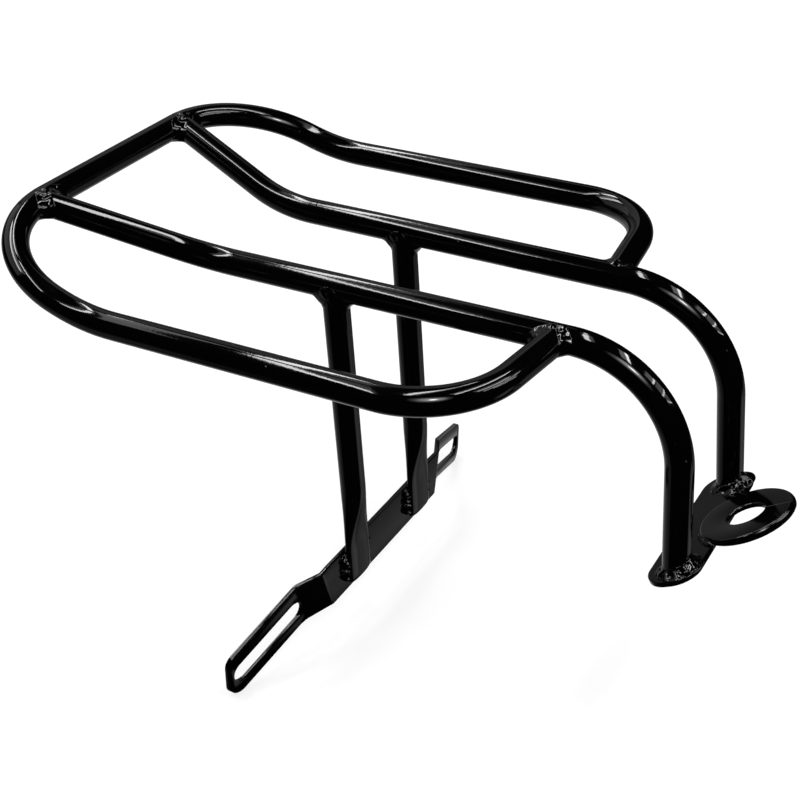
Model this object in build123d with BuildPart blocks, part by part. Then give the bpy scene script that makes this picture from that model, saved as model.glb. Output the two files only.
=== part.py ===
"""Welded steel luggage rack that bolts to the rear fender of a solo-seat motorcycle.

Frame: the origin is the middle of the round mounting eye at the front of the rack,
+X points forward, +Y to the left and +Z up.  All sizes are in millimetres.
The rack is symmetric about the XZ plane, so every width is given as a distance from it.
"""
from build123d import *
import os
from math import atan, cos, degrees, radians, sin, tan

os.makedirs("parts", exist_ok=True)

# ---- stock -----------------------------------------------------------------
tube_r = 6.35                 # half-inch round tube
tube_wall = 1.65              # 16 gauge wall
bore_r = tube_r - tube_wall
cope_gap = 0.05               # play of a coped end on the tube it meets, closed by its weld
weld_leg = 3.2                # reach of a weld bead along each of the two surfaces it joins
weld_crown = 0.7              # how far a bead stands above two tubes that meet flush
joint_reach = 25.0            # disc that holds any joint between two tubes
bead_height = 3.4             # height of the beads round the rails' feet
bead_lip = 0.3                # and what is left of them at the top
foot_bead_reach = 4.0         # reach of the struts' foot beads up the side of the pressed tube
foot_bead_gap = 1.0           # the struts' foot beads stop short of the strap's edges
eye_weld_from = 24.0          # degrees from the eye's rear point to the start of its bead
eye_weld_arc = 38.0

# ---- deck, measured from the eye -------------------------------------------
deck_z = 87.6                 # centrelines of the level deck tubes
rear_x = -342.0               # centreline of the raised rear bar
rear_lift = 23.0              # rear bar above the deck
hoop_rear_half = 103.5        # hoop width at the rear bar
hoop_kink_x = -276.0          # where the hoop's sides turn up towards the rear bar
hoop_kink_half = 106.0
hoop_front_x = -88.0          # corner where the hoop turns in towards the rails
hoop_front_half = 104.0
hoop_end_x = -79.6            # where its front legs meet the rails
hoop_rear_bend = 54.5
hoop_kink_bend = 100.0
hoop_front_bend = 42.3

# ---- rails, which run from the rear bar forward and down to the foot plate ---
rail_rear_half = 54.8
rail_kink_x = -261.5
rail_kink_half = 32.3
rail_front_x = -24.6          # corner of the bend down to the foot
rail_front_half = 30.3
rail_foot_x = -19.0
rail_foot_half = 35.3
rail_foot_z = -15.0           # below the foot plate's upper face, which cuts the leg off
rail_kink_bend = 98.0
rail_front_bend = 51.5

# ---- mounting eye and foot plate, both on a plane that rises forward ---------
eye_slope = 27.0              # degrees
eye_r = 22.3
eye_hole_r = 8.9
eye_thick = 2.4
foot_rear = -36.4             # rear and front edges of the foot plate, along the slope
foot_front = -11.0
foot_half = 45.4
foot_corner_r = 11.5
foot_thick = 3.0
edge_round = 0.7

# ---- struts, whose lower ends are pressed flat -------------------------------
strut_top_x = -190.5
strut_half = 31.4
strut_foot_x = -188.8
strut_foot_z = -79.5
press_start_z = -24.0         # where the round tube begins to flatten
press_end_z = -60.0           # fully flat below this
press_width = 20.0
press_thick = 5.0
press_edge_r = 2.45           # rounding of the folded edges
press_bore = 0.9              # gap left between the pressed walls
press_bore_r = 0.44

# ---- slotted strap, a bent flat bar welded behind the struts -----------------
strap_thick = 2.7
strap_height = 24.0
strap_z = -73.0               # mid-height of the straight centre part
strap_front_x = strut_foot_x - press_thick / 2
strap_bend_r = 5.0
joggle_in_half = 56.8         # where the strap leaves its straight part
straight_half = 54.8          # where its edges begin to slope down
joggle_out_half = 71.3        # where it becomes the wing
joggle_back = 7.3             # how far the joggle steps back
fold_lean = 0.28              # sideways lean of the fold lines, per unit of height
wing_end_half = 117.8
wing_sweep = 0.23             # wing direction: back, per unit of width
wing_droop = 0.41             # and down, per unit of width
wing_drop_start = 2.0         # drop of the strap's mid-line over the joggle
wing_corner_r = 6.5
slot_width = 11.8
slot_in_half = 69.8           # ends of the adjustment slot
slot_out_half = 114.6
slot_drop = 1.1               # slot's mid-line below the wing's


def bent_rod(points, bends, radius):
    """Solid round rod along a route of straight runs joined by tangent arcs."""
    with BuildPart() as rod:
        with BuildLine() as route:
            if bends:
                FilletPolyline(*points, radius=bends)
            else:
                Line(*points)
        start = Plane(origin=route.line @ 0, z_dir=route.line % 0)
        with BuildSketch(start):
            Circle(radius)
        sweep(path=route.wire())
    return rod.part


def mirrored(points):
    """The same route on the right side of the rack."""
    return [(x, -y, z) for x, y, z in points]


def part_of(shape, plane, keep):
    """The part of a shape on one side of a plane."""
    with BuildPart() as piece:
        add(shape)
        split(bisect_by=plane, keep=keep)
    return piece.part


def nearest_solid(shape, spot):
    """The solid of a compound whose middle is nearest to a spot."""
    return min(shape.solids(), key=lambda s: (s.center() - Vector(*spot)).length)


# ---- routes of the tube centrelines ------------------------------------------
half_hoop = [
    (hoop_end_x, rail_front_half, deck_z),
    (hoop_front_x, hoop_front_half, deck_z),
    (hoop_kink_x, hoop_kink_half, deck_z),
    (rear_x, hoop_rear_half, deck_z + rear_lift),
]
half_bends = [hoop_front_bend, hoop_kink_bend, hoop_rear_bend]
hoop_route = half_hoop + mirrored(half_hoop)[::-1]
hoop_bends = half_bends + half_bends[::-1]

rail_route = [
    (rear_x, rail_rear_half, deck_z + rear_lift),
    (rail_kink_x, rail_kink_half, deck_z),
    (rail_front_x, rail_front_half, deck_z),
    (rail_foot_x, rail_foot_half, rail_foot_z),
]
rail_bends = [rail_kink_bend, rail_front_bend]

strut_foot = (strut_foot_x, strut_half, strut_foot_z)

# ---- planes of the foot ------------------------------------------------------
slope_cos = cos(radians(eye_slope))
slope_sin = sin(radians(eye_slope))
eye_plane = Plane(origin=(0, 0, 0), x_dir=(slope_cos, 0, slope_sin), z_dir=(-slope_sin, 0, slope_cos))
eye_top = eye_plane.offset(eye_thick / 2)
foot_top = eye_plane.offset(-eye_thick / 2)

# ---- plain rods that cope and weld the tubes to each other -------------------
sides = {"left": 1, "right": -1}
hoop_rod = bent_rod(hoop_route, hoop_bends, tube_r)
hoop_bead = bent_rod(hoop_route, hoop_bends, tube_r + weld_leg)
rail_rod = {}
rail_bead = {}
rail_wide = {}
for side, sign in sides.items():
    route = rail_route if sign > 0 else mirrored(rail_route)
    rail_rod[side] = bent_rod(route, rail_bends, tube_r)
    rail_bead[side] = bent_rod(route, rail_bends, tube_r + weld_leg)
    rail_wide[side] = bent_rod(route, rail_bends, tube_r + cope_gap)

# The hoop's rear bar copes the rails, and the rails cope the hoop's front legs and the struts.
across = Plane.YZ.offset(hoop_kink_x)
hoop_cope = part_of(bent_rod(hoop_route, hoop_bends, tube_r + cope_gap), across, Keep.BOTTOM)
rail_cope = {side: part_of(rail_wide[side], across, Keep.TOP) for side in sides}

pieces = {}

# ---- perimeter hoop ----------------------------------------------------------
with BuildPart() as perimeter_hoop:
    add(hoop_rod)
    add(bent_rod(hoop_route, hoop_bends, bore_r), mode=Mode.SUBTRACT)
    for side in sides:
        add(rail_cope[side], mode=Mode.SUBTRACT)
pieces["perimeter_hoop"] = nearest_solid(perimeter_hoop.part, (rear_x / 2, 0, deck_z))


# ---- rails -------------------------------------------------------------------
def rail(side, sign):
    """One rail: coped to the rear bar, bent down and cut off at the foot plate."""
    route = rail_route if sign > 0 else mirrored(rail_route)
    with BuildPart() as tube:
        add(rail_rod[side])
        add(bent_rod(route, rail_bends, bore_r), mode=Mode.SUBTRACT)
        add(hoop_cope, mode=Mode.SUBTRACT)
        split(bisect_by=foot_top, keep=Keep.TOP)
    return nearest_solid(tube.part, (rail_kink_x / 2, sign * rail_kink_half, deck_z))


for side, sign in sides.items():
    pieces[f"rail_{side}"] = rail(side, sign)


# ---- struts ------------------------------------------------------------------
def strut(side, sign):
    """One strut: coped under its rail, round above and pressed flat below."""
    with BuildPart() as tube:
        for wide, thick, edge_r, radius, mode in (
            (press_width, press_thick, press_edge_r, tube_r, Mode.ADD),
            (press_width - 2 * tube_wall, press_bore, press_bore_r, bore_r, Mode.SUBTRACT),
        ):
            top = Plane(origin=(strut_top_x, sign * strut_half, deck_z))
            low = Plane(origin=(strut_foot_x, sign * strut_half, press_start_z))
            flat = Plane(origin=(strut_foot_x, sign * strut_half, press_end_z))
            foot = Plane(origin=(strut_foot_x, sign * strut_half, strut_foot_z))
            with BuildSketch(top):
                Circle(radius)
            with BuildSketch(low):
                Circle(radius)
            loft(mode=mode)
            with BuildSketch(low):
                Circle(radius)
            with BuildSketch(flat):
                RectangleRounded(thick, wide, edge_r)
            loft(mode=mode)
            with BuildSketch(foot):
                RectangleRounded(thick, wide, edge_r)
            extrude(amount=press_end_z - strut_foot_z, mode=mode)
        add(rail_cope[side], mode=Mode.SUBTRACT)
    return nearest_solid(tube.part, strut_foot)


for side, sign in sides.items():
    pieces[f"strut_{side}"] = strut(side, sign)


# ---- slotted strap -----------------------------------------------------------
def wing_z(y):
    """Mid-line height of the wing at a distance y from the middle."""
    return strap_z - wing_drop_start - wing_droop * (y - joggle_out_half)


def strap_half():
    """Left half of the strap: bent in plan, then cut to its outline seen from the front."""
    slant = Vector(0, fold_lean, 1).normalized()
    rise = wing_end_half
    shift = fold_lean * rise
    wing_back = joggle_back + wing_sweep * (wing_end_half + rise - joggle_out_half)
    plan = [
        (strap_front_x, -2 * shift),
        (strap_front_x, joggle_in_half - shift),
        (strap_front_x - joggle_back, joggle_out_half - shift),
        (strap_front_x - wing_back, wing_end_half + rise - shift),
    ]
    half = strap_height / 2
    wing_half_height = half * (1 + (wing_droop / (1 + wing_sweep**2) ** 0.5) ** 2) ** 0.5
    outline = [
        (0, strap_z - half),
        (straight_half, strap_z - half),
        (joggle_out_half, wing_z(joggle_out_half) - wing_half_height),
        (wing_end_half, wing_z(wing_end_half) - wing_half_height),
        (wing_end_half, wing_z(wing_end_half) + wing_half_height),
        (joggle_out_half, wing_z(joggle_out_half) + wing_half_height),
        (straight_half, strap_z + half),
        (0, strap_z + half),
    ]
    slot_mid = (slot_in_half + slot_out_half) / 2
    with BuildPart() as bar:
        with BuildSketch(Plane.XY.offset(strap_z - rise)):
            with BuildLine() as bend_line:
                FilletPolyline(*plan, radius=strap_bend_r)
                offset(amount=strap_thick, side=Side.LEFT)
            make_face()
        extrude(amount=2 * rise / slant.Z, dir=slant)
        with BuildSketch(Plane.YZ.offset(strap_front_x - wing_end_half)) as front:
            with BuildLine():
                Polyline(*outline, close=True)
            make_face()
            tip = front.vertices().group_by(Axis.X)[-1]
            fillet(tip, wing_corner_r)
            with Locations((slot_mid, wing_z(slot_mid) - slot_drop)):
                slot_long = (slot_out_half - slot_in_half) * (1 + wing_droop**2) ** 0.5
                SlotOverall(slot_long, slot_width, rotation=-degrees(atan(wing_droop)), mode=Mode.SUBTRACT)
        extrude(amount=2 * wing_end_half, mode=Mode.INTERSECT)
    return bar.part


with BuildPart() as slotted_strap:
    add(strap_half())
    mirror(about=Plane.XZ)
pieces["slotted_strap"] = slotted_strap.part


# ---- foot plate and mounting eye -----------------------------------------------
with BuildPart() as foot_plate:
    with BuildSketch(foot_top):
        with Locations(((foot_rear + foot_front) / 2, 0)):
            RectangleRounded(foot_front - foot_rear, 2 * foot_half, foot_corner_r)
    extrude(amount=-foot_thick)
    fillet(foot_plate.edges().filter_by(GeomType.LINE, reverse=True), edge_round)
pieces["foot_plate"] = foot_plate.part

with BuildPart() as eye_ring:
    with BuildSketch(foot_top):
        Circle(eye_r)
        Circle(eye_hole_r, mode=Mode.SUBTRACT)
    extrude(amount=eye_thick)
    fillet(eye_ring.edges().group_by(SortBy.LENGTH)[-1], edge_round)
pieces["eye_ring"] = eye_ring.part


# ---- weld beads ------------------------------------------------------------------
def joint_bead(first, second, cut_first, cut_second, flush):
    """Bead in the corner between two tubes: near both of them and inside neither.

    The flush plane holds both centrelines, so the bead is thin where it crosses over them.
    """
    with BuildPart() as bead:
        add(first)
        add(second, mode=Mode.INTERSECT)
        with BuildSketch(flush.offset(-tube_r - weld_crown)):
            Circle(joint_reach)
        extrude(amount=2 * (tube_r + weld_crown), mode=Mode.INTERSECT)
        add(cut_first, mode=Mode.SUBTRACT)
        add(cut_second, mode=Mode.SUBTRACT)
    return nearest_solid(bead.part, flush.origin)


def foot_bead(side, sign):
    """Bead round a leg where it stands on the sloping foot plate."""
    leg = foot_top.to_local_coords(Vector(rail_foot_x, sign * rail_foot_half, rail_foot_z))
    lean = tan(radians(eye_slope))
    middle = leg.X - leg.Z * lean
    with BuildPart() as bead:
        with BuildSketch(foot_top):
            with Locations((middle, leg.Y)):
                Ellipse(tube_r / slope_cos + weld_leg, tube_r + weld_leg)
        with BuildSketch(foot_top.offset(bead_height)):
            with Locations((middle + bead_height * lean, leg.Y)):
                Ellipse(tube_r / slope_cos + bead_lip, tube_r + bead_lip)
        loft()
        add(rail_rod[side], mode=Mode.SUBTRACT)
    return nearest_solid(bead.part, (rail_foot_x, sign * rail_foot_half, 0))


def strut_foot_bead(side, sign, edge):
    """Bead down one edge of a strut's flat foot, on the strap's front face."""
    wall = sign * strut_half + edge * (press_width / 2 - press_thick / 2)
    out = wall + edge * (press_thick / 2 + weld_leg)
    with BuildPart() as bead:
        with BuildSketch(Plane.XY.offset(strut_foot_z + foot_bead_gap)):
            with BuildLine():
                Polyline(
                    (strap_front_x, wall),
                    (strap_front_x + foot_bead_reach, wall),
                    (strap_front_x, out),
                    close=True,
                )
            make_face()
        extrude(amount=strap_z + strap_height / 2 - strut_foot_z - 2 * foot_bead_gap)
        add(pieces[f"strut_{side}"], mode=Mode.SUBTRACT)
        add(press_core[side], mode=Mode.SUBTRACT)
    return nearest_solid(bead.part, (strap_front_x, out, strap_z))


def eye_bead(sign):
    """Bead in the corner between the eye's rim and the foot plate."""
    start = radians(180 - sign * eye_weld_from)
    radial = foot_top.x_dir * cos(start) + foot_top.y_dir * sin(start)
    section = Plane(origin=foot_top.origin, x_dir=radial, z_dir=radial.cross(foot_top.z_dir))
    with BuildPart() as bead:
        with BuildSketch(section):
            with BuildLine():
                Polyline((eye_r, 0), (eye_r + weld_leg, 0), (eye_r, weld_leg), close=True)
            make_face()
        revolve(axis=Axis(foot_top.origin, foot_top.z_dir), revolution_arc=-sign * eye_weld_arc)
    return bead.part


press_core = {}
for side, sign in sides.items():
    with BuildPart() as core:
        with BuildSketch(Plane(origin=(strut_foot_x, sign * strut_half, strut_foot_z))):
            RectangleRounded(press_thick, press_width, press_edge_r)
        extrude(amount=press_end_z - strut_foot_z)
    press_core[side] = core.part

for side, sign in sides.items():
    rod, big = rail_rod[side], rail_bead[side]
    run = [Vector(x, sign * y, z) for x, y, z in rail_route[:2]]
    rear_flush = Plane(origin=run[0], x_dir=(0, 1, 0), z_dir=(run[1] - run[0]).cross(Vector(0, 1, 0)))
    pieces[f"rear_weld_{side}"] = joint_bead(hoop_bead, big, hoop_rod, rod, rear_flush)
    front_flush = Plane(origin=(hoop_end_x, sign * rail_front_half, deck_z))
    pieces[f"front_weld_{side}"] = joint_bead(hoop_bead, big, hoop_rod, rod, front_flush)
    top = [(strut_top_x, sign * strut_half, deck_z), (strut_foot_x, sign * strut_half, press_start_z)]
    strut_rod = bent_rod(top, None, tube_r)
    strut_big = bent_rod(top, None, tube_r + weld_leg)
    strut_flush = Plane(origin=top[0], x_dir=(1, 0, 0), z_dir=(0, 1, 0))
    pieces[f"strut_top_weld_{side}"] = joint_bead(strut_big, big, strut_rod, rod, strut_flush)
    pieces[f"rail_foot_weld_{side}"] = foot_bead(side, sign)
    pieces[f"strut_foot_weld_{side}_inner"] = strut_foot_bead(side, sign, -sign)
    pieces[f"strut_foot_weld_{side}_outer"] = strut_foot_bead(side, sign, sign)
    pieces[f"eye_weld_{side}"] = eye_bead(sign)

# ---- export ------------------------------------------------------------------
for name, shape in pieces.items():
    shape.label = name
    export_step(shape, f"parts/{name}.step")
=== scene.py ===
import math

import bmesh
import bpy
import numpy as np
from mathutils import Matrix, Vector, noise


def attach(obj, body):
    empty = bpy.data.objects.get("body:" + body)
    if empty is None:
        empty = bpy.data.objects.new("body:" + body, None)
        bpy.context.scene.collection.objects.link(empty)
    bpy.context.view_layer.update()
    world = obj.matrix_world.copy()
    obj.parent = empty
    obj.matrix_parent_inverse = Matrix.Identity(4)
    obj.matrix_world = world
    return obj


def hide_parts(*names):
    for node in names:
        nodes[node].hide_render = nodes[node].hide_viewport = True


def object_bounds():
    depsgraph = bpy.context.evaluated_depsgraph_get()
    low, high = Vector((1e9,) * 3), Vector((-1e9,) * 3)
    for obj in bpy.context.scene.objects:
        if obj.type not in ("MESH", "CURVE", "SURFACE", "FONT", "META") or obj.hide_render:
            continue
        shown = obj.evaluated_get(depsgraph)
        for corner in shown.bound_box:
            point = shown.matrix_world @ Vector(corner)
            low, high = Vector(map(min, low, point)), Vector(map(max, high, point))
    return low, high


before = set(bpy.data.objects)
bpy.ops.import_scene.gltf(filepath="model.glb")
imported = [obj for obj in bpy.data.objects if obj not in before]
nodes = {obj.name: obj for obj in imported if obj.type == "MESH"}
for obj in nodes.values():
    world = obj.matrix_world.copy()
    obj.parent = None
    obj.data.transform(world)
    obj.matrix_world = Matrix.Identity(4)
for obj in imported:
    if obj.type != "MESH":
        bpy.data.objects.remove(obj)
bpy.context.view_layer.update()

MM = 0.001

# ---------------------------------------------------------------- dimensions
# Millimetres, the same as the CAD part: origin in the middle of the mounting eye, +X forward.
TUBE_R = 6.35
SKIN_R = TUBE_R - 0.005  # keeps the visible skin just inside the CAD's box
DECK_Z = 87.6
REAR_X = -342.0
REAR_Z = DECK_Z + 23.0
HOOP_HALF = [
    (-79.6, 30.3, DECK_Z),
    (-88.0, 104.0, DECK_Z),
    (-276.0, 106.0, DECK_Z),
    (REAR_X, 103.5, REAR_Z),
]
HOOP_BENDS = [42.3, 100.0, 54.5]
RAIL = [
    (REAR_X, 54.8, REAR_Z),
    (-261.5, 32.3, DECK_Z),
    (-24.6, 30.3, DECK_Z),
    (-19.0, 35.3, -15.0),
]
RAIL_BENDS = [98.0, 51.5]
RAIL_SUNK = 1.0  # how deep the rails' feet stand in the foot plate
STRUT_TOP = (-190.5, 31.4, DECK_Z)
STRUT_FOOT = (-188.8, 31.4, -79.5)
PRESS_START = -24.0  # height where the strut begins to flatten
PRESS_END = -60.0  # and where it is flat
PRESS_WIDTH = 20.0
PRESS_THICK = 5.0
PRESS_SQUARE = 0.35  # added to an ellipse's power of 2, so that the flat end looks squarer
STRUT_END_ROUND = 0.9
EYE_SLOPE = math.radians(27.0)
EYE_R = 22.3
EYE_INSET = 0.05  # the visible rim lies this far inside the CAD's
EYE_HOLE_R = 8.9
EYE_THICK = 2.4
EYE_SEAM = math.radians(10)  # where the bent ring's two ends meet, left of straight ahead
EYE_GAP = 1.0  # degrees between those ends
EYE_STEP = 1.5  # how far one end's top stands above the other's
RIM_ROUND = 1.3
BORE_ROUND = 0.8
UNDER_ROUND = 0.6
STRAP_Z = -73.0
STRAP_HALF = 12.0
STRAP_FRONT = STRUT_FOOT[0] - PRESS_THICK / 2

# How far each weld reaches over the tubes from the line where they meet.
REAR_LEG = 5.6
FRONT_LEG = 4.0
STRUT_LEG = 5.2
FOOT_LEG = 3.2
# Length of a ripple in each kind of weld.
TUBE_WELD_PITCH = 3.8
FOOT_WELD_PITCH = 3.6
EYE_WELD_PITCH = 2.1
STRUT_FOOT_WELD_PITCH = 2.4
# The round beads between flat pieces: how thick, how deep in their corner and where.
EYE_WELD_R = 1.7
EYE_WELD_DEPTH = -0.1
EYE_WELD_ARC = (20.0, 66.0)  # degrees from the back of the eye
STRUT_FOOT_WELD_R = 2.7
STRUT_FOOT_WELD_DEPTH = 0.35
STRUT_FOOT_WELD_INSET = 0.9  # its middle line, from the strut's edge
BEAD_SPOTS = 90


# ---------------------------------------------------------------- materials
def new_material(name, base, rough):
    mat = bpy.data.materials.new(name)
    mat.use_nodes = True
    nt = mat.node_tree
    bsdf = nt.nodes["Principled BSDF"]
    bsdf.inputs["Base Color"].default_value = (*base, 1)
    bsdf.inputs["Roughness"].default_value = rough
    return mat, nt, bsdf


def node(nt, kind, **inputs):
    """A new node with its inputs set by name, an underscore standing for a space."""
    n = nt.nodes.new(kind)
    for key, value in inputs.items():
        n.inputs[key.replace("_", " ")].default_value = value
    return n


def black_coat(name, rough, rough_spread, peel, peel_scale, speck):
    """Gloss black powder coat: fine orange peel, slightly uneven gloss and a few dust nibs."""
    mat, nt, bsdf = new_material(name, (0.004, 0.004, 0.0042), rough)
    bsdf.inputs["IOR"].default_value = 1.5
    at = nt.nodes.new("ShaderNodeTexCoord")
    link = nt.links.new

    cloud = node(nt, "ShaderNodeTexNoise", Scale=38.0, Detail=3.0, Roughness=0.5)
    link(at.outputs["Object"], cloud.inputs["Vector"])
    span = node(
        nt, "ShaderNodeMapRange", From_Min=0.35, From_Max=0.65,
        To_Min=rough - rough_spread, To_Max=rough + rough_spread,
    )
    link(cloud.outputs["Fac"], span.inputs["Value"])
    link(span.outputs["Result"], bsdf.inputs["Roughness"])

    tint = nt.nodes.new("ShaderNodeMix")
    tint.data_type = "RGBA"
    tint.inputs["A"].default_value = (0.0004, 0.0004, 0.0005, 1)
    tint.inputs["B"].default_value = (0.0012, 0.0012, 0.0012, 1)
    link(cloud.outputs["Fac"], tint.inputs["Factor"])
    link(tint.outputs["Result"], bsdf.inputs["Base Color"])

    skin = node(nt, "ShaderNodeTexNoise", Scale=peel_scale, Detail=2.0, Roughness=0.5)
    link(at.outputs["Object"], skin.inputs["Vector"])
    nib = node(nt, "ShaderNodeTexVoronoi", Scale=105.0, Randomness=1.0)
    link(at.outputs["Object"], nib.inputs["Vector"])
    spot = node(
        nt, "ShaderNodeMapRange", From_Min=0.0, From_Max=0.055, To_Min=speck, To_Max=0.0
    )
    link(nib.outputs["Distance"], spot.inputs["Value"])
    total = nt.nodes.new("ShaderNodeMath")
    total.operation = "ADD"
    link(skin.outputs["Fac"], total.inputs[0])
    link(spot.outputs["Result"], total.inputs[1])
    bump = node(nt, "ShaderNodeBump", Strength=1.0, Distance=peel)
    link(total.outputs["Value"], bump.inputs["Height"])
    link(bump.outputs["Normal"], bsdf.inputs["Normal"])
    return mat


tube_coat = black_coat(
    "tube_gloss_black", rough=0.06, rough_spread=0.02, peel=0.000012, peel_scale=420.0, speck=28.0
)
plate_coat = black_coat(
    "plate_gloss_black", rough=0.09, rough_spread=0.03, peel=0.000014, peel_scale=520.0, speck=6.0
)
weld_coat = black_coat(
    "weld_gloss_black", rough=0.045, rough_spread=0.015, peel=0.000004, peel_scale=420.0, speck=4.0
)


def dress(obj, mat):
    obj.data.materials.clear()
    obj.data.materials.append(mat)


# ---------------------------------------------------------------- mesh helpers
def mirror_y(points):
    return [(x, -y, z) for x, y, z in points]


def rounded_route(points, bends, arc_step=2.0, run_step=6.0):
    """Points along straight runs joined by tangent arcs: degrees and millimetres per step."""
    pts = [Vector(p) for p in points]
    path = [pts[0]]

    def run_to(end):
        start = path[-1]
        steps = max(1, int((end - start).length / run_step))
        for i in range(1, steps + 1):
            path.append(start.lerp(end, i / steps))

    for i, radius in enumerate(bends, 1):
        a, b, c = pts[i - 1], pts[i], pts[i + 1]
        u, v = (a - b).normalized(), (c - b).normalized()
        half = u.angle(v) / 2
        reach = radius / math.tan(half)
        centre = b + (u + v).normalized() * (radius / math.sin(half))
        first, last = b + u * reach, b + v * reach
        run_to(first)
        sweep = math.pi - 2 * half
        axis = (first - centre).cross(last - centre).normalized()
        steps = max(2, int(math.degrees(sweep) / arc_step))
        for k in range(1, steps + 1):
            spin = Matrix.Rotation(sweep * k / steps, 3, axis)
            path.append(centre + spin @ (first - centre))
    run_to(pts[-1])
    return path


def carried_frames(path):
    """A sideways and an upward direction at each point, turned along without twist."""
    tangents = []
    for i in range(len(path)):
        before, after = path[max(i - 1, 0)], path[min(i + 1, len(path) - 1)]
        tangents.append((after - before).normalized())
    side = tangents[0].cross(Vector((0, 0, 1))).normalized()
    frames = []
    for t in tangents:
        side = (side - t * side.dot(t)).normalized()
        frames.append((side, side.cross(t)))
    return frames


def smooth(mesh):
    mesh.polygons.foreach_set("use_smooth", [True] * len(mesh.polygons))


def skin_rings(name, rings, loop=False):
    """A skin over a row of rings with equal counts, capped at both ends or closed in a loop."""
    count, total = len(rings[0]), len(rings)
    faces = []
    for i in range(total if loop else total - 1):
        here, there = i * count, (i + 1) % total * count
        for k in range(count):
            m = (k + 1) % count
            faces.append((here + k, here + m, there + m, there + k))
    if not loop:
        faces.append(tuple(range(count))[::-1])
        faces.append(tuple(range((total - 1) * count, total * count)))
    mesh = bpy.data.meshes.new(name)
    mesh.from_pydata([tuple(p * MM) for ring in rings for p in ring], [], faces)
    mesh.validate()
    mesh.update()
    smooth(mesh)
    obj = bpy.data.objects.new(name, mesh)
    bpy.context.scene.collection.objects.link(obj)
    return obj


def tube(name, path, sides=72):
    """A round tube along a route."""
    rings = []
    for p, (side, up) in zip(path, carried_frames(path)):
        ring = []
        for k in range(sides):
            a = 2 * math.pi * k / sides
            ring.append(p + (side * math.cos(a) + up * math.sin(a)) * SKIN_R)
        rings.append(ring)
    return skin_rings(name, rings)


def cut_below(obj, point, normal):
    """Cuts a closed mesh with a plane and closes it, keeping the side the normal points to."""
    bm = bmesh.new()
    bm.from_mesh(obj.data)
    geom = bm.verts[:] + bm.edges[:] + bm.faces[:]
    cut = bmesh.ops.bisect_plane(
        bm, geom=geom, plane_co=point * MM, plane_no=normal, clear_inner=True
    )
    edges = [e for e in cut["geom_cut"] if isinstance(e, bmesh.types.BMEdge)]
    bmesh.ops.contextual_create(bm, geom=edges)
    bm.to_mesh(obj.data)
    bm.free()
    smooth(obj.data)


def eased(t):
    """0 below 0, 1 above 1 and a smooth step between them."""
    t = min(max(t, 0.0), 1.0)
    return t * t * (3 - 2 * t)


# ---------------------------------------------------------------- tubes
hoop_path = rounded_route(HOOP_HALF + mirror_y(HOOP_HALF)[::-1], HOOP_BENDS + HOOP_BENDS[::-1])
hoop = tube("hoop_tube", hoop_path)
dress(hoop, tube_coat)
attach(hoop, "root")
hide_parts("perimeter_hoop")

# directions along, across and out of the sloping foot plate, and the middle of its top face
eye_x = Vector((math.cos(EYE_SLOPE), 0, math.sin(EYE_SLOPE)))
eye_y = Vector((0, 1, 0))
eye_up = Vector((-math.sin(EYE_SLOPE), 0, math.cos(EYE_SLOPE)))
foot_top = -eye_up * (EYE_THICK / 2)

rail_paths = {}
for side, sign in (("left", 1), ("right", -1)):
    route = RAIL if sign > 0 else mirror_y(RAIL)
    rail_paths[side] = rounded_route(route, RAIL_BENDS)
    rail = tube(f"rail_tube_{side}", rail_paths[side])
    cut_below(rail, foot_top - eye_up * RAIL_SUNK, eye_up)
    dress(rail, tube_coat)
    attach(rail, "root")
    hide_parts(f"rail_{side}")


def strut_rings(sign, sides=96):
    """Round above, then pressed flat: each ring blends from the tube's circle to the flat foot."""
    top = Vector((STRUT_TOP[0], sign * STRUT_TOP[1], STRUT_TOP[2]))
    foot = Vector((STRUT_FOOT[0], sign * STRUT_FOOT[1], STRUT_FOOT[2]))

    def ring_at(z, shrink=0.0):
        lean = min(1.0, (top.z - z) / (top.z - PRESS_START))
        cx = top.x + (foot.x - top.x) * lean
        t = eased((PRESS_START - z) / (PRESS_START - PRESS_END))
        half_w = TUBE_R + (PRESS_WIDTH / 2 - TUBE_R) * t - shrink
        half_t = TUBE_R + (PRESS_THICK / 2 - TUBE_R) * t - shrink
        power = 2 + PRESS_SQUARE * t
        ring = []
        for k in range(sides):
            a = 2 * math.pi * k / sides
            c, s = math.cos(a), math.sin(a)
            x = half_t * math.copysign(abs(c) ** (2 / power), c)
            y = half_w * math.copysign(abs(s) ** (2 / power), s)
            ring.append(Vector((cx + x, top.y + y, z)))
        return ring

    # the round part, the closer rings of the press and the flat part
    levels = list(np.linspace(top.z, PRESS_START + 4, 24))
    levels += list(np.linspace(PRESS_START + 2, PRESS_END - 2, 48))
    levels += list(np.linspace(PRESS_END - 4, foot.z + STRUT_END_ROUND, 8))
    rings = [ring_at(z) for z in levels]
    # the rounded lower end
    rings.append(ring_at(foot.z + 0.25, 0.3))
    rings.append(ring_at(foot.z, STRUT_END_ROUND))
    return rings[::-1]


for side, sign in (("left", 1), ("right", -1)):
    strut = skin_rings(f"strut_tube_{side}", strut_rings(sign))
    dress(strut, tube_coat)
    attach(strut, "root")
    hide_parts(f"strut_{side}")


# ---------------------------------------------------------------- plates kept from the CAD
def soften(obj, width):
    """Merges the flat facets and breaks the sharp edges, by modifiers and smooth shading only."""
    weld = obj.modifiers.new("weld", "WELD")
    weld.merge_threshold = 1e-6
    flat = obj.modifiers.new("flat", "DECIMATE")
    flat.decimate_type = "DISSOLVE"
    flat.angle_limit = math.radians(0.6)
    bevel = obj.modifiers.new("bevel", "BEVEL")
    bevel.width = width
    bevel.segments = 3
    bevel.limit_method = "ANGLE"
    bevel.angle_limit = math.radians(35)
    bevel.harden_normals = True
    smooth(obj.data)


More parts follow.
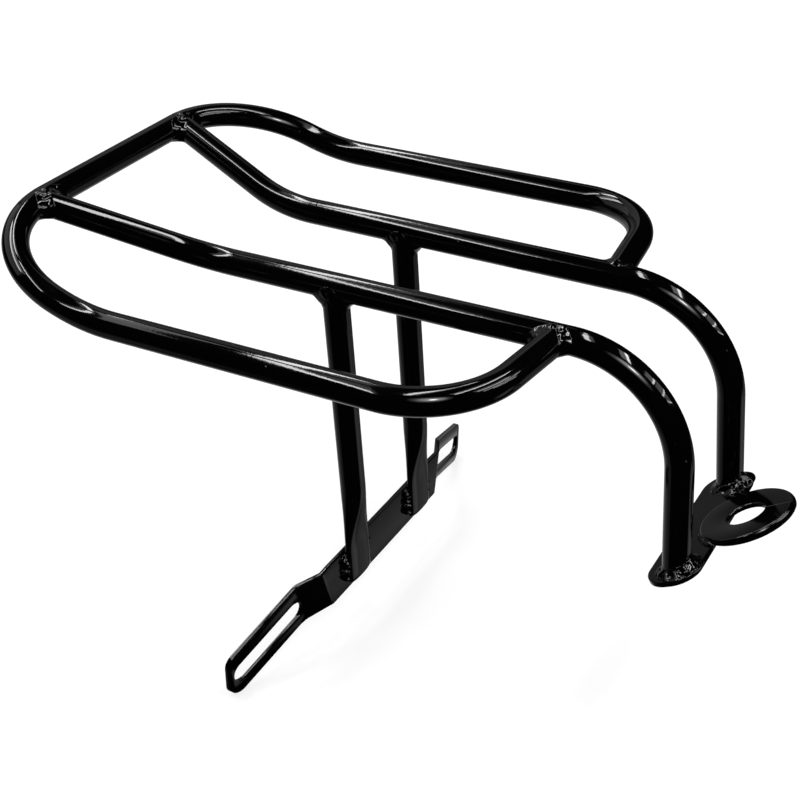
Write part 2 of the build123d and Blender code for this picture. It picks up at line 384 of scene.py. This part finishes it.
for name in ("slotted_strap", "foot_plate"):
    dress(nodes[name], plate_coat)
soften(nodes["slotted_strap"], 0.5 * MM)


# ---------------------------------------------------------------- mounting eye
def rounded_corner(r, z, out, up, round_r, steps=8):
    """Profile points round one corner of the ring's section, from the side to the face."""
    points = []
    for k in range(steps + 1):
        a = math.pi / 2 * k / steps
        in_by, down_by = round_r * (1 - math.cos(a)), round_r * (1 - math.sin(a))
        points.append((r - out * in_by, z - up * down_by))
    return points


profile = rounded_corner(EYE_R - EYE_INSET, 0.0, 1, -1, UNDER_ROUND)[::-1]
profile += rounded_corner(EYE_R - EYE_INSET, EYE_THICK, 1, 1, RIM_ROUND)
profile += rounded_corner(EYE_HOLE_R, EYE_THICK, -1, 1, BORE_ROUND)[::-1]
profile += rounded_corner(EYE_HOLE_R, 0.0, -1, -1, UNDER_ROUND)

# Bent round from bar, so its two ends meet at the front. The underside stays flat, while the top
# rises over the right-hand half and stands above the other end in a small step.
TURNS = 240
RISE_FROM = 0.42
RISE_OVER = 0.5
rings = []
for i in range(TURNS):
    u = i / (TURNS - 1)
    a = EYE_SEAM + math.radians(EYE_GAP / 2 + (360 - EYE_GAP) * u)
    lift = EYE_STEP * eased((u - RISE_FROM) / RISE_OVER)
    radial = eye_x * math.cos(a) + eye_y * math.sin(a)
    rings.append([foot_top + radial * r + eye_up * (z + lift * z / EYE_THICK) for r, z in profile])
eye_loop = skin_rings("eye_loop", rings, loop=True)
eye_loop.data.flip_normals()  # its section runs the other way round from a tube's
dress(eye_loop, plate_coat)
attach(eye_loop, "root")
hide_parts("eye_ring")


# ---------------------------------------------------------------- weld beads
def ripple(along, pitch, around, slant):
    """0 in the valleys between weld ripples and 1 on their crests."""
    return 0.5 - 0.5 * math.cos(2 * math.pi * (along / pitch + slant * math.cos(around)))


def unevenness(spot, seed, lump, coarse, fine, fine_share):
    """Noise of two grains, for the uneven build-up of a weld."""
    rough = noise.noise(spot * coarse + Vector((seed, 0, 0))) * 2 * lump
    return rough + noise.noise(spot * fine + Vector((0, seed, 0))) * fine_share * lump


def bead(name, spots, normals, radius, depth, pitch, seed, lump=0.12, sides=28):
    """A rippled bead swept along spots; normals point out of the corner it fills."""
    count = len(spots)
    rings = []
    along = 0.0
    for i, (p, m) in enumerate(zip(spots, normals)):
        before, after = spots[max(i - 1, 0)], spots[min(i + 1, count - 1)]
        t = (after - before).normalized()
        m = (m - t * m.dot(t)).normalized()
        w = t.cross(m)
        core = p + m * depth
        taper = min(1.0, 1.6 * math.sqrt(min(i, count - 1 - i) / count * 3 + 1e-6))
        ring = []
        for k in range(sides):
            a = 2 * math.pi * k / sides
            out = m * math.cos(a) + w * math.sin(a)
            wave = 0.86 + 0.14 * ripple(along, pitch, a, 0.35)
            rough = unevenness(core + out * radius, seed, lump, 0.55, 1.7, 0.5)
            ring.append(core + out * radius * taper * (wave + rough))
        rings.append(ring)
        along += (after - p).length
    obj = skin_rings(name, rings)
    dress(obj, weld_coat)
    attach(obj, "root")
    return obj


def fillet(name, rows, pitch, seed, lump, wave, across=24):
    """A rippled weld filling the corner along a closed line.

    Each row holds a spot on the line, the two skins' normals there, the weld's edge on either
    skin and how far it stands proud where the skins run flush.
    """
    rings = []
    along = 0.0
    for i, (spot, skin_a, skin_b, edge_a, edge_b, crown) in enumerate(rows):
        m = (skin_a + skin_b).normalized()
        rise = ((edge_a + edge_b) / 2 - spot).dot(m)
        top = spot + m * (2 * max(0.82 * rise, crown) - rise)
        ring = []
        for k in range(across + 1):
            u = k / across
            p = edge_a * (1 - u) ** 2 + top * (2 * u * (1 - u)) + edge_b * u**2
            swell = math.sin(math.pi * u) ** 0.7
            coin = ripple(along, pitch, 0.0, 0.55 * (2 * u - 1) ** 2)
            rough = unevenness(p, seed, lump, 0.3, 0.8, 0.1)
            ring.append(p + m * swell * (wave * (coin - 0.6) + rough))
        # the hidden underside, sunk in both tubes
        ring.append(edge_b - skin_b * 0.5)
        ring.append(spot - m * 1.3)
        ring.append(edge_a - skin_a * 0.5)
        rings.append(ring)
        along += (rows[(i + 1) % len(rows)][0] - spot).length
    obj = skin_rings(name, rings, loop=True)
    dress(obj, weld_coat)
    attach(obj, "root")
    return obj


def onto(path, p):
    """The nearest spot on a tube's skin and the skin's normal there."""
    best, best_gap = None, math.inf
    for a, b in zip(path, path[1:]):
        u = min(max((p - a).dot(b - a) / (b - a).length_squared, 0.0), 1.0)
        mid = a.lerp(b, u)
        gap = (p - mid).length
        if gap < best_gap:
            best, best_gap = mid, gap
    n = (p - best).normalized()
    return best + n * TUBE_R, n


def near(path, spot, reach=26.0):
    """The stretch of a route close to a spot."""
    return [p for p in path if (p - spot).length < reach]


def tee_line(joint, a, b, count=240, span=6):
    """The closed line where a branch tube along b meets a main tube along a, slightly evened."""
    e1 = b.orthogonal().normalized()
    e2 = b.cross(e1)
    b_across = b - a * b.dot(a)
    line = []
    for i in range(count):
        th = 2 * math.pi * i / count
        w = (e1 * math.cos(th) + e2 * math.sin(th)) * TUBE_R
        w_across = w - a * w.dot(a)
        half = w_across.dot(b_across)
        room = half * half - b_across.length_squared * (w_across.length_squared - TUBE_R**2)
        t = (-half + math.sqrt(max(room, 0))) / b_across.length_squared
        line.append(joint + w + b * t)
    return [
        sum((line[(i + k) % count] for k in range(-span, span + 1)), Vector()) / (2 * span + 1)
        for i in range(count)
    ]


def tee_weld(name, joint, main_path, branch_dir, seed, leg):
    """Weld all round a branch tube where it meets a main tube of the same size."""
    main = near(main_path, joint)
    a = (main[-1] - main[0]).normalized()
    b = branch_dir.normalized()
    # the branch's centreline, from inside the main tube to well past the weld
    branch = [joint - b * 12, joint + b * 40]
    line = tee_line(joint, a, b)
    rows = []
    for i, spot in enumerate(line):
        t = (line[(i + 1) % len(line)] - line[i - 1]).normalized()
        skin_a, skin_b = onto(main, spot)[1], onto(branch, spot)[1]
        d_a, d_b = t.cross(skin_a).normalized(), t.cross(skin_b).normalized()
        if d_a.dot(skin_b - b) < 0:
            d_a = -d_a
        if d_b.dot(skin_a + b) < 0:
            d_b = -d_b
        # narrower where the two skins run flush
        reach = leg * (1 - 0.42 * max(skin_a.dot(skin_b), 0.0))
        edge_a = onto(main, spot + d_a * reach)[0]
        edge_b = onto(branch, spot + d_b * reach)[0]
        rows.append((spot, skin_a, skin_b, edge_a, edge_b, 0.6))
    return fillet(name, rows, TUBE_WELD_PITCH, seed, lump=0.15, wave=0.045 * leg)


def foot_rows(path, count=220):
    """Rows for the weld round a rail's foot, heaviest at the front where it runs out."""
    run = (path[-1] - path[-2]).normalized()
    e1 = Vector((1, 0, 0))
    e1 = (e1 - run * e1.dot(run)).normalized()
    e2 = run.cross(e1)
    rows = []
    for i in range(count):
        th = 2 * math.pi * i / count
        skin = e1 * math.cos(th) + e2 * math.sin(th)
        edge = path[-1] + skin * TUBE_R
        spot = edge + run * ((foot_top - edge).dot(eye_up) / run.dot(eye_up))
        out = (skin - eye_up * skin.dot(eye_up)).normalized()
        fore = (0.5 + 0.5 * math.cos(th)) ** 1.5
        edge_a = spot + out * (FOOT_LEG + 2.6 * fore)
        edge_b = spot - run * (FOOT_LEG + 1.4 * fore)
        rows.append((spot, eye_up, skin, edge_a, edge_b, 0.5))
    return rows


def along_route(path, x):
    """The point of a route where it passes an x."""
    for p, q in zip(path, path[1:]):
        if min(p.x, q.x) <= x <= max(p.x, q.x) and abs(q.x - p.x) > 1e-6:
            return p.lerp(q, (x - p.x) / (q.x - p.x))
    raise ValueError("the route doesn't pass that x")


for side, sign in (("left", 1), ("right", -1)):
    seed = 3.0 if sign > 0 else 11.0  # each weld adds a number of its own to it
    path = rail_paths[side]
    run = path[1] - path[0]
    rear = tee_weld(f"rear_bead_{side}", path[0], hoop_path, run, seed, REAR_LEG)
    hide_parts(f"rear_weld_{side}")

    leg_dir = Vector(HOOP_HALF[1]) - Vector(HOOP_HALF[0])
    leg_dir.y *= sign
    meet = along_route(path, HOOP_HALF[0][0])
    front = tee_weld(f"front_bead_{side}", meet, path, leg_dir, seed + 1.3, FRONT_LEG)
    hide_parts(f"front_weld_{side}")

    meet = along_route(path, STRUT_TOP[0])
    down = Vector((STRUT_FOOT[0] - STRUT_TOP[0], 0, PRESS_START - STRUT_TOP[2]))
    top = tee_weld(f"strut_top_bead_{side}", meet, path, down, seed + 2.9, STRUT_LEG)
    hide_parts(f"strut_top_weld_{side}")

    rows = foot_rows(path)
    foot = fillet(
        f"rail_foot_bead_{side}", rows, FOOT_WELD_PITCH, seed + 4.1, lump=0.5, wave=0.22
    )
    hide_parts(f"rail_foot_weld_{side}")

    # between the eye's rim and the plate
    spots, normals = [], []
    start, end = EYE_WELD_ARC
    for i in range(BEAD_SPOTS):
        th = math.radians(180 - sign * (start + (end - start) * i / (BEAD_SPOTS - 1)))
        radial = eye_x * math.cos(th) + eye_y * math.sin(th)
        spots.append(foot_top + radial * EYE_R)
        normals.append(radial + eye_up)
    rim = bead(
        f"eye_bead_{side}", spots, normals, EYE_WELD_R, EYE_WELD_DEPTH, EYE_WELD_PITCH, seed + 6.7
    )
    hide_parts(f"eye_weld_{side}")

    # down both edges of the strut's flat foot, from just above its end to just below the
    # strap's upper edge
    bottom, top_z = STRUT_FOOT[2] + 0.5, STRAP_Z + STRAP_HALF - 0.6
    for edge, across in (("inner", -sign), ("outer", sign)):
        wall = sign * STRUT_FOOT[1] + across * (PRESS_WIDTH / 2 - STRUT_FOOT_WELD_INSET)
        spots = []
        for i in range(BEAD_SPOTS):
            z = bottom + (top_z - bottom) * i / (BEAD_SPOTS - 1)
            spots.append(Vector((STRAP_FRONT + 0.3, wall, z)))
        normals = [Vector((1, across, 0))] * BEAD_SPOTS
        foot_run = bead(
            f"strut_foot_bead_{side}_{edge}", spots, normals, STRUT_FOOT_WELD_R,
            STRUT_FOOT_WELD_DEPTH, STRUT_FOOT_WELD_PITCH, seed + 8.3 + across, lump=0.26,
        )
        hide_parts(f"strut_foot_weld_{side}_{edge}")

# ---------------------------------------------------------------- floor, light and camera
FLOOR_SIZE = 12  # metres
lowest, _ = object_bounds()
floor_z = lowest[2] - 0.5 * MM
bpy.ops.mesh.primitive_plane_add(size=FLOOR_SIZE, location=(0, 0, floor_z))
floor = bpy.context.object
floor.name = "floor"
paper, _, paper_bsdf = new_material("floor_paper", (0.32, 0.32, 0.32), 0.9)
paper_bsdf.inputs["Emission Color"].default_value = (1, 1, 1, 1)
paper_bsdf.inputs["Emission Strength"].default_value = 0.7
floor.data.materials.append(paper)
floor.visible_glossy = False


def heading(azimuth, elevation):
    """A direction from its azimuth and elevation in degrees."""
    a, e = math.radians(azimuth), math.radians(elevation)
    return Vector((math.cos(e) * math.cos(a), math.cos(e) * math.sin(a), math.sin(e)))


# The camera sees a white backdrop, and every other ray the dark room with its glows.
world = bpy.data.worlds.new("studio")
bpy.context.scene.world = world
world.use_nodes = True
world_nt = world.node_tree
room = world_nt.nodes["Background"]
room.inputs["Color"].default_value = (1.0, 1.0, 1.0, 1)
backdrop = node(world_nt, "ShaderNodeBackground", Color=(1.0, 1.0, 1.0, 1), Strength=1.0)
sky = world_nt.nodes.new("ShaderNodeTexCoord")


def glow(toward, outer, inner, strength):
    """A soft round glow: full within inner degrees of a heading and gone at outer."""
    dot = world_nt.nodes.new("ShaderNodeVectorMath")
    dot.operation = "DOT_PRODUCT"
    dot.inputs[1].default_value = heading(*toward)
    world_nt.links.new(sky.outputs["Generated"], dot.inputs[0])
    fade = node(
        world_nt, "ShaderNodeMapRange", From_Min=math.cos(math.radians(outer)),
        From_Max=math.cos(math.radians(inner)), To_Max=strength,
    )
    fade.interpolation_type = "SMOOTHSTEP"
    world_nt.links.new(dot.outputs["Value"], fade.inputs["Value"])
    return fade.outputs["Result"]


# a lamp beside the camera in its soft halo, and the paper seen beyond and below the rack
glows = [
    glow((-54, 44), 5.0, 0.5, 24.0),
    glow((-55, 45), 14.0, 1.0, 4.0),
    glow((-57, 44), 20.0, 2.0, 1.6),
    glow((130, -38), 55.0, 10.0, 0.2),
    glow((56, -34), 20.0, 2.0, 0.2),
    glow((150, -32), 21.0, 5.0, 0.11),
    glow((176, -32), 21.0, 5.0, 0.14),
    glow((-154, -32), 23.0, 5.0, 0.14),
    glow((30, -36), 16.0, 2.0, 0.4),
    glow((128, -52), 30.0, 8.0, 0.3),
]
level = glows[0]
for extra in glows[1:]:
    add = world_nt.nodes.new("ShaderNodeMath")
    add.operation = "ADD"
    world_nt.links.new(level, add.inputs[0])
    world_nt.links.new(extra, add.inputs[1])
    level = add.outputs["Value"]
world_nt.links.new(level, room.inputs["Strength"])
ray = world_nt.nodes.new("ShaderNodeLightPath")
seen = world_nt.nodes.new("ShaderNodeMixShader")
world_nt.links.new(ray.outputs["Is Camera Ray"], seen.inputs["Fac"])
world_nt.links.new(room.outputs["Background"], seen.inputs[1])
world_nt.links.new(backdrop.outputs["Background"], seen.inputs[2])
world_nt.links.new(seen.outputs["Shader"], world_nt.nodes["World Output"].inputs["Surface"])

LAMP_CENTRE = Vector((-0.16, 0.0, 0.0))
LAMP_REACH = 4.0


def strip(name, start, end, width, radiance, glossy=True):
    """A straight lamp seen from the rack's middle between two headings, width degrees across."""
    a, b = heading(*start) * LAMP_REACH, heading(*end) * LAMP_REACH
    centre = (a + b) / 2
    long_axis = (b - a).normalized()
    face = centre.normalized()
    light = bpy.data.lights.new(name, "AREA")
    light.shape = "RECTANGLE"
    light.size = (b - a).length
    light.size_y = 2 * centre.length * math.tan(math.radians(width) / 2)
    light.energy = radiance * math.pi * light.size * light.size_y
    lamp = bpy.data.objects.new(name, light)
    bpy.context.scene.collection.objects.link(lamp)
    turn = Matrix((long_axis, face.cross(long_axis), face)).transposed().to_4x4()
    lamp.matrix_world = Matrix.Translation(LAMP_CENTRE + centre) @ turn
    lamp.visible_camera = False
    lamp.visible_glossy = glossy


def overhead(name, start, end, width, radiance, dim, reach):
    """A ceiling tube between two spots of a ceiling one unit up, with a dim reflector above it."""
    ends = []
    for x, y in (start, end):
        azimuth, elevation = math.atan2(y, x), math.atan2(1, math.hypot(x, y))
        ends.append((math.degrees(azimuth), math.degrees(elevation)))
    strip(name, ends[0], ends[1], width, radiance)
    lifted = [(azimuth, elevation + reach / 2) for azimuth, elevation in ends]
    strip(f"{name}_reflector", lifted[0], lifted[1], reach, dim)


# rows of tubes on the ceiling, from behind the rack to well in front of it
overhead("tube_rear_far", (-1.04, -0.56), (-0.96, 0.56), 5.5, 8.0, 1.6, 9)
overhead("tube_rear_right", (-0.53, -0.80), (-0.60, 0.05), 2.2, 15, 0.8, 5)
overhead("tube_rear_left", (-0.61, 0.20), (-0.68, 0.80), 2.4, 14, 0.8, 5)
overhead("tube_top", (-0.07, -0.28), (-0.14, 0.36), 4.2, 13, 1.2, 8)
overhead("tube_top_middle", (-0.14, 0.36), (-0.17, 0.56), 3.0, 6, 0.8, 8)
overhead("tube_top_left", (-0.18, 0.60), (-0.20, 0.73), 2.2, 12, 0.8, 5)
overhead("tube_front_1", (0.53, -0.22), (0.40, 0.79), 2.6, 17, 2.4, 7)
overhead("tube_front_2", (1.12, -0.12), (1.15, 0.80), 1.6, 15, 1.8, 8)
overhead("tube_front_3", (1.66, -0.10), (1.75, 1.50), 1.4, 12, 1.3, 8)
overhead("tube_front_4", (2.05, 0.22), (2.75, 1.75), 1.2, 10, 0.9, 6)
# walls of the room, only just lighter than the dark
strip("rear_wall", (150, 22), (-150, 22), 26, 0.4)
strip("far_wall", (112, 2), (150, 2), 34, 0.09)
strip("far_wall_top", (112, 30), (150, 30), 22, 0.25)
# soft light from the whole ceiling, which leaves no reflection
strip("wash", (-60, 84), (120, 80), 60, 1.05, glossy=False)

# the photo's viewing angle, solved from it together with the tubes' centrelines
CAMERA_LENS = 63.52
CAMERA_AT = Vector((132.4, -503.9, 386.3)) * MM
CAMERA_RIGHT = Vector((0.8647, 0.5004, -0.0436))
CAMERA_UP = Vector((-0.2364, 0.4820, 0.8437))
CAMERA_BACK = Vector((0.4432, -0.7192, 0.5351))
camera = bpy.data.cameras.new("camera")
camera.sensor_width = 36
camera.lens = CAMERA_LENS
camera.clip_start = 0.01
eye = bpy.data.objects.new("camera", camera)
bpy.context.scene.collection.objects.link(eye)
turn = Matrix((CAMERA_RIGHT, CAMERA_UP, CAMERA_BACK)).transposed().to_4x4()
eye.matrix_world = Matrix.Translation(CAMERA_AT) @ turn
bpy.context.scene.camera = eye
bpy.context.scene.view_settings.view_transform = "Standard"
